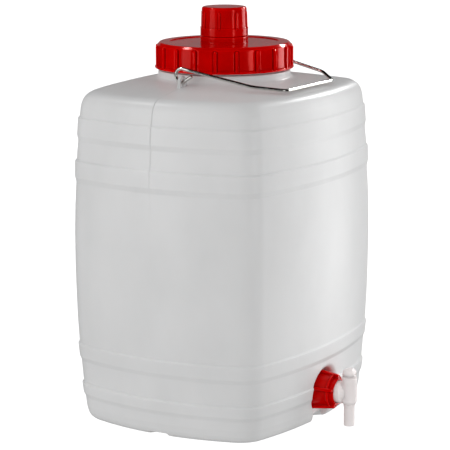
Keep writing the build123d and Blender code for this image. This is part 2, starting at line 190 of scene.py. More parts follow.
def tube(path, radius, sides=24):
    """A round wire along a list of 3D points, with rounded ends."""
    pts = np.array(path, float)
    tangent = np.gradient(pts, axis=0)
    tangent /= np.linalg.norm(tangent, axis=1)[:, None]
    normal = np.cross(tangent[0], [0.3, 0.5, 0.8])
    normals = []
    for t in tangent:
        normal = normal - t * (normal @ t)
        normal /= np.linalg.norm(normal)
        normals.append(normal)
    last = len(pts) - 1
    cap = np.radians([12, 30, 50, 70, 88])
    first_cap, last_cap = tangent[0] * radius * 0.5, tangent[last] * radius * 0.5
    stops = [(pts[0] - first_cap * sin(a), 0, radius * cos(a)) for a in cap[::-1]]
    stops += [(pts[k], k, radius) for k in range(len(pts))]
    stops += [(pts[last] + last_cap * sin(a), last, radius * cos(a)) for a in cap]
    around = full_turn(sides)[:, None]
    rings = []
    for centre, k, r in stops:
        side = np.cross(tangent[k], normals[k])
        rings.append(centre + r * (np.cos(around) * normals[k] + np.sin(around) * side))
    return np.concatenate(rings), grid_faces(len(rings), sides)


def along_tap(shell):
    """Turns a shell built on +Z so that it lies on the tap's axis, with its +Z along -Y."""
    pts, faces = shell
    return np.stack([pts[:, 0], -pts[:, 2], pts[:, 1] + TAP_Z], -1), faces


def moved(shell, x=0.0, y=0.0, z=0.0):
    """A shell shifted by a distance along each axis."""
    pts, faces = shell
    return pts + np.array([x, y, z]), faces


def piece(name, shells, node, material, weighted=True):
    """One object from closed shells: it replaces a CAD node and rides on that node's body."""
    verts, faces, start = [], [], 0
    for pts, quads in shells:
        verts.append(pts)
        faces.extend((np.asarray(quads) + start).tolist())
        start += len(pts)
    mesh = bpy.data.meshes.new(name)
    mesh.from_pydata((np.concatenate(verts) * MM).tolist(), [], faces)
    bm = bmesh.new()
    bm.from_mesh(mesh)
    bmesh.ops.remove_doubles(bm, verts=bm.verts, dist=MERGE_DISTANCE)
    bmesh.ops.dissolve_degenerate(bm, edges=bm.edges, dist=MERGE_DISTANCE)
    bmesh.ops.recalc_face_normals(bm, faces=bm.faces)
    bm.to_mesh(mesh)
    bm.free()
    mesh.shade_smooth()
    obj = bpy.data.objects.new(name, mesh)
    bpy.context.scene.collection.objects.link(obj)
    obj.data.materials.append(material)
    if weighted:
        obj.modifiers.new("even_normals", "WEIGHTED_NORMAL").keep_sharp = False
    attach(obj, BODY_OF[node])
    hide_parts(node)
    return obj


# ---- materials ----
def new_material(name):
    """A material with its nodes, links, shader and texture coordinates."""
    material = bpy.data.materials.new(name)
    material.use_nodes = True
    nodes, links = material.node_tree.nodes, material.node_tree.links
    shader = nodes["Principled BSDF"]
    place = nodes.new("ShaderNodeTexCoord")
    return material, nodes, links, shader, place


def set_inputs(node, values):
    """Sets a node's inputs from a dictionary of names and values."""
    for name, value in values.items():
        node.inputs[name].default_value = value


def noise(nodes, links, place, scale, detail=3.0, roughness=0.5, stretch=(1, 1, 1)):
    """The value of a noise texture in object space; scale is in cells per metre."""
    mapping = nodes.new("ShaderNodeMapping")
    mapping.inputs["Scale"].default_value = stretch
    links.new(place.outputs["Object"], mapping.inputs["Vector"])
    tex = nodes.new("ShaderNodeTexNoise")
    set_inputs(tex, {"Scale": scale, "Detail": detail, "Roughness": roughness})
    links.new(mapping.outputs["Vector"], tex.inputs["Vector"])
    return tex.outputs["Fac"]


def ramp(nodes, links, source, stops):
    """Maps a value to the colours of two (position, colour) stops and returns the output."""
    node = nodes.new("ShaderNodeValToRGB")
    for element, (position, colour) in zip(node.color_ramp.elements, stops):
        element.position = position
        element.color = (*colour, 1.0)
    links.new(source, node.inputs["Fac"])
    return node.outputs["Color"]


def spread(nodes, links, source, low, high, start=0.0, end=1.0):
    """Maps start..end to low..high and returns the output."""
    node = nodes.new("ShaderNodeMapRange")
    set_inputs(node, {"From Min": start, "From Max": end, "To Min": low, "To Max": high})
    links.new(source, node.inputs["Value"])
    return node.outputs["Result"]


def bump(nodes, links, shader, layers):
    """Stacks bump layers of (value, height in metres)."""
    previous = None
    for source, height in layers:
        node = nodes.new("ShaderNodeBump")
        set_inputs(node, {"Distance": height, "Strength": 1.0})
        links.new(source, node.inputs["Height"])
        if previous:
            links.new(previous.outputs["Normal"], node.inputs["Normal"])
        previous = node
    links.new(previous.outputs["Normal"], shader.inputs["Normal"])


SEAM_HALF_WIDTH = 0.0006     # metres
SEAM_HEIGHT = 0.0005         # metres
SEAM_GROWS = (0.20, 0.306)   # heights between which the seam comes up, in metres
SEAM_FAINTEST = 0.12         # its share of the full height below those heights


def parting_line(nodes, links, place):
    """The height, 0 to 1, of the mould's seam along Y = 0: full on the shoulder and faint below."""
    split = nodes.new("ShaderNodeSeparateXYZ")
    links.new(place.outputs["Object"], split.inputs["Vector"])
    across = nodes.new("ShaderNodeMath")
    across.operation = "ABSOLUTE"
    links.new(split.outputs["Y"], across.inputs[0])
    both = nodes.new("ShaderNodeMath")
    both.operation = "MULTIPLY"
    line = spread(nodes, links, across.outputs["Value"], 1.0, 0.0, end=SEAM_HALF_WIDTH)
    rise = spread(nodes, links, split.outputs["Z"], SEAM_FAINTEST, 1.0, *SEAM_GROWS)
    links.new(line, both.inputs[0])
    links.new(rise, both.inputs[1])
    return both.outputs["Value"]


def polyethylene(name, light, dark, tint_scale, scatter, depth, rough):
    """Natural polyethylene: satin, slightly translucent, with faint mottling from light to dark.
    scatter is the share of light that goes under the surface, and depth how far in metres."""
    material, nodes, links, shader, place = new_material(name)
    cloud = noise(nodes, links, place, tint_scale, detail=4, stretch=(1, 1, 0.6))
    tint = ramp(nodes, links, cloud, [(0.35, dark), (0.65, light)])
    links.new(tint, shader.inputs["Base Color"])
    grain = noise(nodes, links, place, 900, detail=2)
    pull = noise(nodes, links, place, 70, detail=3, stretch=(1, 1, 0.45))
    wave = noise(nodes, links, place, 18, detail=2, stretch=(1, 1, 0.7))
    links.new(spread(nodes, links, pull, rough - 0.05, rough + 0.07), shader.inputs["Roughness"])
    seam = parting_line(nodes, links, place)
    bump(nodes, links, shader,
         [(wave, 0.0006), (pull, 0.00012), (grain, 0.00003), (seam, SEAM_HEIGHT)])
    set_inputs(shader, {
        "IOR": 1.5,
        "Subsurface Weight": scatter,
        "Subsurface Radius": (1.0, 0.95, 0.9),
        "Subsurface Scale": depth,
    })
    return material


def red_polypropylene(name):
    """Glossy red polypropylene that lets a little light through its edges, with painted shade in its inner corners
    and painted highlights along its outer edges.
    """
    material, nodes, links, shader, place = new_material(name)
    cloud = noise(nodes, links, place, 45, detail=3)
    tint = ramp(nodes, links, cloud, [(0.3, (0.50, 0.0, 0.0)), (0.7, (0.66, 0.0, 0.0))])
    # painted shade and highlight: the mesh's pointiness scales the red darker in inner corners and brighter along
    # outer edges
    shape = nodes.new("ShaderNodeNewGeometry")
    edge = spread(nodes, links, shape.outputs["Pointiness"], 0.35, 1.65, 0.42, 0.58)
    painted_shade_and_highlight = nodes.new("ShaderNodeVectorMath")
    painted_shade_and_highlight.operation = "SCALE"
    links.new(tint, painted_shade_and_highlight.inputs[0])
    links.new(edge, painted_shade_and_highlight.inputs["Scale"])
    links.new(painted_shade_and_highlight.outputs["Vector"], shader.inputs["Base Color"])
    flow = noise(nodes, links, place, 130, detail=2, stretch=(1, 1, 0.5))
    links.new(spread(nodes, links, flow, 0.07, 0.17), shader.inputs["Roughness"])
    bump(nodes, links, shader, [(flow, 0.00006)])
    set_inputs(shader, {
        "IOR": 1.5,
        "Specular IOR Level": 0.6,
        "Specular Tint": (1.0, 0.14, 0.12, 1.0),
        "Subsurface Weight": 0.35,
        "Subsurface Radius": (1.0, 0.04, 0.03),
        "Subsurface Scale": 0.003,
    })
    return material


def steel_wire(name):
    """Bright drawn wire with fine scratches."""
    material, nodes, links, shader, place = new_material(name)
    draw = noise(nodes, links, place, 260, detail=4, roughness=0.65)
    tint = ramp(nodes, links, draw, [(0.3, (0.52, 0.51, 0.49)), (0.7, (0.74, 0.73, 0.70))])
    links.new(tint, shader.inputs["Base Color"])
    links.new(spread(nodes, links, draw, 0.12, 0.3), shader.inputs["Roughness"])
    bump(nodes, links, shader, [(draw, 0.00003)])
    set_inputs(shader, {"Metallic": 1.0})
    return material


def seal_rubber(name):
    """Off-white food-grade seal."""
    material, nodes, links, shader, place = new_material(name)
    dust = noise(nodes, links, place, 300, detail=3)
    tint = ramp(nodes, links, dust, [(0.3, (0.66, 0.64, 0.58)), (0.7, (0.78, 0.76, 0.71))])
    links.new(tint, shader.inputs["Base Color"])
    links.new(spread(nodes, links, dust, 0.55, 0.7), shader.inputs["Roughness"])
    bump(nodes, links, shader, [(dust, 0.00003)])
    return material


TANK_PLASTIC = polyethylene(
    "natural_polyethylene", light=(0.80, 0.80, 0.80), dark=(0.755, 0.757, 0.757),
    tint_scale=16, scatter=0.25, depth=0.005, rough=0.36)
TAP_PLASTIC = polyethylene(
    "tap_polyethylene", light=(0.95, 0.875, 0.865), dark=(0.93, 0.85, 0.84),
    tint_scale=60, scatter=0.3, depth=0.004, rough=0.34)
RED_PLASTIC = red_polypropylene("red_polypropylene")
STEEL = steel_wire("bail_steel")
RUBBER = seal_rubber("seal_rubber")

# ---- tank ----
PLAN_ASPECT = 1.181          # half width / half depth
END_BOW = 0.2236             # sagitta of the +X and -X sides, per unit of half depth
FRONT_BOW = 0.2018           # sagitta of the -Y and +Y sides, per unit of half depth
CORNER_RADIUS = 0.2482       # per unit of half depth
# (height, half depth) from the base up; the four hoops stand about 1 mm proud
FOOT = [(0.0, 84.5), (2.3, 96.2), (3.6, 100.0), (6.0, 102.6), (10.0, 104.2), (16.0, 105.3),
        (24.0, 106.0)]
HOOP_D = [(25.4, 106.3), (28.4, 107.5), (37.6, 108.5), (39.2, 107.3)]
HOOP_C = [(60.0, 108.7), (63.8, 110.0), (75.4, 110.9), (77.0, 109.9)]
BELLY = [(100.0, 110.9), (125.0, 111.5), (150.0, 111.9), (180.0, 111.9), (205.0, 111.3)]
HOOP_B = [(226.6, 110.3), (231.4, 111.25), (245.6, 111.0), (247.2, 109.7)]
HOOP_A = [(264.6, 108.4), (269.4, 109.2), (284.6, 108.3), (286.2, 107.1)]
SHOULDER = [(296.0, 106.0), (300.0, 105.0), (303.5, 103.4), (306.3, 100.9), (308.3, 97.6)]
SIDE = FOOT + HOOP_D + HOOP_C + BELLY + HOOP_B + HOOP_A + SHOULDER
# the radius that each of those corners is rounded with
FOOT_SOFTNESS = [0.0, 2.2, 4.0] + [8.0] * (len(FOOT) - 3)
HOOP_SOFTNESS = [4.0, 4.0, 1.0, 1.0]
SIDE_SOFTNESS = (FOOT_SOFTNESS + HOOP_SOFTNESS * 2 + [40.0] * len(BELLY)
                 + HOOP_SOFTNESS * 2 + [14.0] * len(SHOULDER))
SIDE_STEP = 3.4              # longest step between two levels
NECK_FOOT_Z = 316.1
NECK_FOOT_R = 64.0
NECK_COLLAR_R = 61.0
NECK_COLLAR_TOP = 323.6
NECK_R = 57.0
NECK_BORE_R = 54.0
NECK_RIM_Z = tank_high.z
DOME_CROWN = 0.7             # how far the dome stands above a straight line, halfway in
LID_PITCH = 9.0
LID_THREAD_Z = 327.4
LID_THREAD_RISE = 11.5       # height over which the thread runs, in the lid
NECK_THREAD_RISE = 10.0      # and on the neck
LID_THREAD_DEPTH = 1.8
LID_THREAD_ROOT = 3.2        # width at the thread's root
LID_THREAD_CREST = 1.4       # width at its crest
WALL = 2.0
LUG_X = 75.0
HOOK_R = 6.2                 # radius of the bail's hooks, to the middle of the wire
BAIL_AXIS_Z = joint_z("bail_swing")

TAP_Z = joint_z("nut_turn")
POCKET_FLOOR_Y = -96.0
POCKET_Z = 30.2              # middle of the pocket's round part
POCKET_R = 22.2              # the pocket's outline where it meets the tank's front
POCKET_DRAFT = 0.8
POCKET_BEND = radians(38)    # below this angle the outline is two legs that close in to the base
POCKET_LEVEL_END = radians(52)   # above this angle the patch's columns spread over the arch
LEG_FOOT_X = 11.6            # half width between the legs at the base
RIM_ROUND = 4.0
POCKET_FOOT_ROUND = 1.8
PATCH_HALF_COLUMNS = 14      # columns of the plan on each side of the pocket's middle
FLOOR_COLUMNS = 25
PUSH_UP = 8.0                # depth of the hollow inside the standing ring
TAP_GAP_HALF = 14.0          # half width of the gap in the ring under the tap
PINCH_NEAR_X = 101.5         # where the mould's pinch-off notches start
PINCH_HALF = 12.5            # their half width
PINCH_HEIGHT = 6.5
BOSS_R = 12.0
BOSS_BORE_R = 9.0
BOSS_END = 112.3             # along the tap's axis, from the tank's middle
NUT_PITCH = 4.0
NUT_THREAD_Z = 4.5 - POCKET_FLOOR_Y   # the thread's start along the tap's axis
NUT_THREAD_ROOT = 1.6
NUT_THREAD_CREST = 0.7


def plan_quarter(ends, corners, fronts):
    """Points of a quarter of the unit plan, from the middle of +X's side round to +Y's, with this
    many on the end, the corner and the front."""
    end_radius = (1 + END_BOW**2) / (2 * END_BOW)
    front_radius = (PLAN_ASPECT**2 + FRONT_BOW**2) / (2 * FRONT_BOW)
    end_centre = np.array([PLAN_ASPECT - end_radius, 0.0])
    front_centre = np.array([0.0, 1 - front_radius])
    between = front_centre - end_centre
    gap = np.linalg.norm(between)
    inner_end, inner_front = end_radius - CORNER_RADIUS, front_radius - CORNER_RADIUS
    along = (inner_end**2 - inner_front**2 + gap**2) / (2 * gap)
    across = sqrt(inner_end**2 - along**2)
    unit = between / gap
    corner = end_centre + unit * along + np.array([-unit[1], unit[0]]) * across
    if min(corner) < 0:
        # the two circles meet twice; the corner is the meeting in this quarter
        corner = end_centre + unit * along - np.array([-unit[1], unit[0]]) * across
    out_end = atan2(*(corner - end_centre)[::-1])
    out_front = atan2(*(corner - front_centre)[::-1])
    # a few narrow columns beside the seam on the plan's end
    seam = np.arcsin(np.array([0.0, 0.35, 0.8, 1.4]) / 108 / end_radius)
    pts = [end_centre + end_radius * np.array([cos(a), sin(a)])
           for a in [*seam, *np.linspace(0, out_end, ends)[1:-1]]]
    pts += [corner + CORNER_RADIUS * np.array([cos(a), sin(a)])
            for a in np.linspace(out_end, out_front, corners)[:-1]]
    pts += [front_centre + front_radius * np.array([cos(a), sin(a)])
            for a in np.linspace(out_front, pi / 2, fronts)]
    pts[0][1] = 0.0
    pts[-1][0] = 0.0
    return np.array(pts)


def plan_loop(quarter):
    """The whole unit plan, anticlockwise from the middle of the back; the tap's side is halfway."""
    inward, outward = quarter[:-1], quarter[:0:-1]
    return np.concatenate([outward * [-1, 1], inward * [-1, -1], outward * [1, -1], inward])


PLAN = plan_loop(plan_quarter(30, 16, 36))
PLAN_REACH = np.hypot(PLAN[:, 0], PLAN[:, 1])
PLAN_ANGLE = np.arctan2(PLAN[:, 1], PLAN[:, 0])
side_rows = refine(soften(SIDE, SIDE_SOFTNESS), SIDE_STEP)


def front_y(x, z):
    """The tank's front surface as y over (x, z)."""
    half_depth = np.interp(z, side_rows[:, 0], side_rows[:, 1])
    radius = half_depth * (PLAN_ASPECT**2 + FRONT_BOW**2) / (2 * FRONT_BOW)
    return -half_depth + radius - np.sqrt(radius**2 - np.square(x))


def plan_row(half_depth, share=0.0, radius=0.0):
    """Points of one level: the plan at a half depth, moved towards a circle by share."""
    return polar(PLAN_REACH * half_depth * (1 - share) + radius * share, PLAN_ANGLE)


def dome_rows(edge_z, edge_half_depth, foot_z, foot_r, count):
    """Levels from the shoulder's edge in to the neck's circle, crowned on the way."""
    rows = []
    for share in np.linspace(0, 1, count)[1:]:
        z = edge_z + (foot_z - edge_z) * share + 4 * DOME_CROWN * share * (1 - share)
        rows.append(level(plan_row(edge_half_depth, share, foot_r), z))
    return rows


def neck_rows(profile):
    """Rows of the neck from (radius, z) points, with the lid's thread on its outside."""
    start = LID_THREAD_Z + LID_PITCH / 2
    rows = []
    for r, z in profile:
        ridge = thread_ridge(PLAN_ANGLE, z, start, LID_PITCH, NECK_THREAD_RISE,
                             LID_THREAD_ROOT, LID_THREAD_CREST)
        reach = r + LID_THREAD_DEPTH * ridge * (abs(r - NECK_R) < 0.9)
        rows.append(level(polar(reach, PLAN_ANGLE), z))
    return rows


def pocket_outline(zs):
    """The left outline of the pocket at the heights zs, as far up as the rows go: its points, their
    outward directions, and the angle of the last one."""
    bend_x = POCKET_R * cos(POCKET_BEND)
    bend_z = POCKET_Z - POCKET_R * sin(POCKET_BEND)
    first_level = POCKET_Z - (POCKET_R + RIM_ROUND) * sin(POCKET_BEND)
    last_level = POCKET_Z + (POCKET_R + RIM_ROUND) * sin(POCKET_LEVEL_END)
    points, outward = [], []
    angle = 0.0
    for z in zs:
        if z <= first_level:
            share = z / first_level
            points.append((-LEG_FOOT_X - (bend_x - LEG_FOOT_X) * share, bend_z * share))
            angle = -POCKET_BEND * share
            outward.append((-cos(angle), sin(angle)))
        elif z < last_level:
            angle = np.arcsin((z - POCKET_Z) / (POCKET_R + RIM_ROUND))
            points.append((-POCKET_R * cos(angle), POCKET_Z + POCKET_R * sin(angle)))
            outward.append((-cos(angle), sin(angle)))
    return points, outward, angle


def pocket_patch(top_row):
    """The front round the tap's pocket, as a mesh that flows round the arch. It stands in for the
    plain rows up to top_row, between the columns PATCH_HALF_COLUMNS either side of the middle.
    Returns two shells, the front's and the pocket floor's, and the rows of points of each."""
    edge = len(PLAN) // 2 - PATCH_HALF_COLUMNS
    zs = side_rows[:top_row + 1, 0]
    outer = [(half_depth * PLAN[edge, 0], z) for z, half_depth in side_rows[:top_row + 1]]
    top_z, top_half = side_rows[top_row]
    outer += [(top_half * PLAN[edge + k, 0], top_z) for k in range(1, PATCH_HALF_COLUMNS + 1)]
    # columns level with the rows as far as they go, then spread over the top of the arch
    base, normal, last = pocket_outline(zs)
    rest = len(outer) - len(base)
    for k in range(1, rest + 1):
        a = last + (pi / 2 - last) * k / rest
        base.append((-POCKET_R * cos(a), POCKET_Z + POCKET_R * sin(a)))
        normal.append((-cos(a), sin(a)))
    base, normal, outer = np.array(base), np.array(normal), np.array(outer)
    base[-1, 0] = 0.0
    outer[-1, 0] = 0.0
    depth = np.maximum(0.0, -front_y(base[:, 0], base[:, 1]) + POCKET_FLOOR_Y)
    rim = np.minimum(RIM_ROUND, 0.6 * depth)
    foot = np.minimum(POCKET_FOOT_ROUND, 0.25 * depth)
    draft = POCKET_DRAFT * np.minimum(1.0, depth / 8)
    lines = []

    def line(xz, y):
        lines.append(np.stack([xz[:, 0], y, xz[:, 1]], -1))

    # the tank's front, from the patch's edge in to the rim
    inner = base + normal * rim[:, None]
    for v in np.linspace(1, 0, 8)[:-1]:
        xz = inner + (outer - inner) * v
        line(xz, front_y(xz[:, 0], xz[:, 1]))
    # the rounded rim
    for a in np.radians([0, 12, 24, 36, 48, 60, 72, 84]):
        xz = base + normal * (rim * (1 - sin(a)))[:, None]
        line(xz, front_y(xz[:, 0], xz[:, 1]) + rim * (1 - cos(a)))
    # the drafted wall and its rounded foot
    at_wall = front_y(base[:, 0], base[:, 1])
    for v in (0.0, 0.35, 0.7, 1.0):
        line(base - normal * (draft * v)[:, None], at_wall + (rim + (depth - foot - rim) * v))
    for a in np.radians([22, 45, 67, 90]):
        xz = base - normal * (draft + foot * (1 - cos(a)))[:, None]
        line(xz, at_wall + depth - foot + foot * sin(a))
    left = np.array(lines)
    count = left.shape[1]
    right = left[:, ::-1] * [-1, 1, 1]
    patch = np.concatenate([left, right[:, 1:]], axis=1)
    shells = [(patch.reshape(-1, 3), grid_faces(patch.shape[0], patch.shape[1], wrap_columns=False))]
    # the floor, from side to side
    rows = []
    for k in range(count):
        a, b = left[-1, k], left[-1, k] * [-1, 1, 1]
        xyz = a + (b - a) * np.linspace(0, 1, FLOOR_COLUMNS)[:, None]
        xyz[1:-1, 1] = np.maximum(front_y(xyz[1:-1, 0], xyz[1:-1, 2]), POCKET_FLOOR_Y)
        rows.append(xyz)
    rows = np.array(rows)
    shells.append((rows.reshape(-1, 3), grid_faces(count, FLOOR_COLUMNS, wrap_columns=False)))
    return shells, patch, rows


def open_tunnels(points):
    """Lifts what lies over the gap under the tap and over the two pinch-off notches in the heel."""
    x, y, z = points[:, 0], points[:, 1], points[:, 2]
    tap_gap = PUSH_UP * smooth((TAP_GAP_HALF - np.abs(x)) / 3.5) * (y < -60)
    pinch = PINCH_HEIGHT * smooth((PINCH_HALF - np.abs(y)) / 4.0) * (np.abs(x) > PINCH_NEAR_X)
    return np.column_stack([x, y, np.maximum(z, np.maximum(tap_gap, pinch) * (z < 10))])


def tank_outside():
    """The outside, from the base up and over the neck's rim to the bottom of its bore."""
    rows = [level(plan_row(half_depth), z) for z, half_depth in side_rows]
    edge_z, edge_half = side_rows[-1]
    rows += dome_rows(edge_z, edge_half, NECK_FOOT_Z, NECK_FOOT_R, 13)
    neck = soften([
        (NECK_FOOT_R, NECK_FOOT_Z), (NECK_COLLAR_R + 0.9, NECK_FOOT_Z + 1.2),
        (NECK_COLLAR_R, NECK_FOOT_Z + 3.4), (NECK_COLLAR_R, NECK_COLLAR_TOP),
        (NECK_R, NECK_COLLAR_TOP), (NECK_R, NECK_RIM_Z), (NECK_BORE_R, NECK_RIM_Z),
        (NECK_BORE_R, NECK_FOOT_Z - 1),
    ], [0, 1.6, 2.5, 1.0, 0.8, 0.9, 0.9, 0])
    rows += neck_rows(refine(neck, 0.75)[1:])
    return np.array(rows)


def tank_inside():
    """The cavity, from the bottom of the neck's bore down to the middle of the floor."""
    edge_z, edge_half = side_rows[-1]
    rows = dome_rows(edge_z - WALL - 0.6, edge_half - WALL, NECK_FOOT_Z - WALL, NECK_BORE_R, 9)
    rows.reverse()
    inner = [(z, half_depth - WALL - 0.4) for z, half_depth in side_rows[::-2] if 13 < z < 306]
    for z, half_depth in inner:
        rows.append(level(plan_row(half_depth), z))
    lowest = inner[-1][1]
    floor_z = PUSH_UP + WALL
    rows.append(level(plan_row(lowest * 0.985), floor_z + 1.0))
    for share in (0.95, 0.8, 0.55, 0.25, 0.0):
        rows.append(level(plan_row(lowest * share), floor_z))
    rows = np.array(rows)
    # the wall steps in behind the pocket
    x, y, z = rows[..., 0], rows[..., 1], rows[..., 2]
    outside = np.hypot(x, z - POCKET_Z) - POCKET_R
    back = POCKET_FLOOR_Y + WALL
    step = smooth((9.0 - outside) / 5.0)
    rows[..., 1] = np.where(y < back, y + (back - y) * step, y)
    return rows


def lug(side):
    """A flat fin with a round head and the bail's hole, its foot spread into the shoulder."""
    hole_r, head_r, half_thick = 3.1, 6.0, 1.5
    edge_round = 0.7
    hole_z = BAIL_AXIS_Z - HOOK_R
    a = full_turn(48) + pi / 2
    low = 312.0 - hole_z     # the foot, inside the shoulder
    rim = []
    for t in a:
        x, z = head_r * cos(t), head_r * sin(t)
        if z < 0:
            scale = min(abs(low / z), abs(head_r / x) if abs(x) > 1e-6 else 1e9)
            x, z = x * scale, z * scale
        rim.append((x, z))
    rim = np.array(rim)
    hole = polar(hole_r, a)
    rings = []

    def ring(share, y, grow=0.0):
        xz = hole + (rim - hole) * share
        length = np.hypot(xz[:, 0], xz[:, 1])[:, None]
        xz = xz * (1 + grow / length)
        foot_spread = 2.2 * smooth((low + 4.0 - xz[:, 1]) / 8) ** 2
        across = np.sign(y) * (abs(y) + foot_spread * (y != 0))
        rings.append(np.stack([xz[:, 0], across, xz[:, 1]], -1))

    # from the hole's edge over one face to the middle of the rim, then the same mirrored
    turns = [sin(radians(b)) for b in (0, 30, 60, 90)]
    for s in turns:
        ring(0, -(half_thick - edge_round + edge_round * s), 0.5 * s)
    for share in (0.3, 0.6, 0.85):
        ring(share, -half_thick)
    for s in turns[::-1]:
        ring(1, -(half_thick - edge_round + edge_round * s), -edge_round * s)
    ring(1, 0)
    rings += [r * [1, -1, 1] for r in rings[-2::-1]]
    rings.append(rings[0] * [1, 0, 1])
    pts = np.array(rings)
    shell = (pts.reshape(-1, 3), grid_faces(len(rings), len(a), wrap_rows=True))
    return moved(shell, x=side * LUG_X, z=hole_z)


def boss():
    """The threaded stub that the tap nut screws on, along the tap's axis."""
    floor = -POCKET_FLOOR_Y
    profile = outline([
        (BOSS_R + 3.0, floor - 1.0), (BOSS_R + 3.0, floor), (BOSS_R, floor), (BOSS_R, BOSS_END),
        (BOSS_BORE_R, BOSS_END), (BOSS_BORE_R, floor - 1.0),
    ], [0, 0, 2.2, 0.5, 0.5, 0], 0.5)

    def thread(th, r, z):
        ridge = thread_ridge(th, z, NUT_THREAD_Z, NUT_PITCH, 9.0, NUT_THREAD_ROOT, NUT_THREAD_CREST)
        return 1.2 * ridge * (np.abs(r - BOSS_R) < 0.3)

    return along_tap(spin(profile, full_turn(96), thread))


def make_tank():
    """Outside, pocket, base, cavity, lugs and boss, as shells of one object."""
    rows = tank_outside()
    count = len(PLAN)
    first, last = count // 2 - PATCH_HALF_COLUMNS, count // 2 + PATCH_HALF_COLUMNS
    top_row = int(np.searchsorted(side_rows[:, 0], POCKET_Z + POCKET_R + RIM_ROUND + 2.0))
    patch, edge, floor = pocket_patch(top_row)
    quads = grid_faces(len(rows), count)
    # leave out the plain quads that the patch stands in for
    i, j = np.divmod(np.arange(len(quads)), count)
    keep = ~((i < top_row) & (j >= first) & (j < last))
    shells = [(rows.reshape(-1, 3), quads[keep]), *patch]
    # the base: rings from its border, which runs along the pocket's floor, over the standing ring
    # and up into the push-up
    border = list(rows[0, :first + 1]) + list(edge[1:, 0]) + list(floor[0, 1:])
    border += list(edge[-2::-1, -1]) + list(rows[0, last + 1:])
    border = np.array(border)
    rings = [(1.0, 0.0), (0.985, 0.0), (0.945, 0.0), (0.932, 0.5), (0.87, 7.2)]
    rings += [(share, PUSH_UP) for share in (0.855, 0.8, 0.6, 0.3, 0.0)]
    base = np.concatenate([border * [share, share, 1] + [0, 0, rise] for share, rise in rings])
    shells.append((base, grid_faces(len(rings), len(border))))
    shells = [(open_tunnels(pts), quads) for pts, quads in shells]
    cavity = np.concatenate([rows[-1:], tank_inside()])
    shells.append((cavity.reshape(-1, 3), grid_faces(len(cavity), count)))
    shells += [lug(-1), lug(1), boss()]
    return piece("tank_shell", shells, "tank", TANK_PLASTIC, weighted=False)


# ---- lid ----
LID_BOTTOM = lid_low.z
LID_TOP = 349.0
LID_RIM_R = lid_high.x
LID_SKIRT_R = 62.2
LID_BORE_R = 59.6
LID_PLATE_UNDER = 346.0
LID_RIBS = 20
LID_RIB_ANGLE = 4.8
LID_RIB_HALF = 1.5           # half width
LID_RIB_TOP = 346.2
LID_GROOVE_DEPTH = 0.8       # of the furrow on each side of a rib
SPOUT_COLLAR_R = 22.0
SPOUT_COLLAR_TOP = 354.2
SPOUT_R = 17.0
SPOUT_BORE_R = 14.5
SPOUT_RIM_Z = lid_high.z
CAP_PITCH = 6.0
CAP_THREAD_Z = 356.8
CAP_THREAD_RISE = 13.0
CAP_THREAD_DEPTH = 1.4
CAP_THREAD_ROOT = 2.2
CAP_THREAD_CREST = 1.0


def cap_thread(angle, z, start):
    """The ridge that holds the filler cap on its spout."""
    return thread_ridge(angle, z, start, CAP_PITCH, CAP_THREAD_RISE, CAP_THREAD_ROOT,
                        CAP_THREAD_CREST)


def rib_height(th, z, radius, count, start, half_width, top, edge):
    """The height, 0 to 1, of upright ribs with rounded tops at each angle and z."""
    pitch = 2 * pi / count
    off = np.mod(th - radians(start) + pitch / 2, pitch) - pitch / 2
    across = off * radius
    over = np.maximum(0, z - (top - half_width))
    return smooth((half_width - np.hypot(across, over)) / edge)


